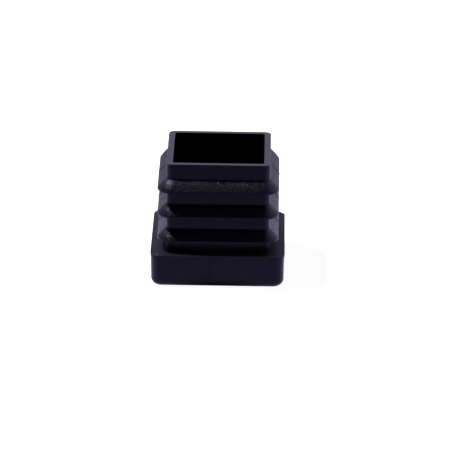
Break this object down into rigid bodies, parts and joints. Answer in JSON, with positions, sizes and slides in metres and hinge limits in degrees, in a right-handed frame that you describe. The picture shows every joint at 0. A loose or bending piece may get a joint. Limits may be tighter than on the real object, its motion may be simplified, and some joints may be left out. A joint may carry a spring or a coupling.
{
  "type": "tube end cap",
  "caption": "Square ribbed end cap that pushes into the open end of a square tube: a flat rounded head with a hollow stem and sloping retaining ribs.",
  "frame": {"origin": "centre of the head's flat underside, the face that shows at the tube's end", "axes": "+Z along the stem, from the head into the tube; +X and +Y square to the cap's sides"},
  "size_m": [0.025, 0.025, 0.0232],
  "materials": {
    "moulded_plastic": "satin"
  },
  "bodies": {
    "root": {"end_cap": "moulded_plastic"}
  },
  "joints": []
}
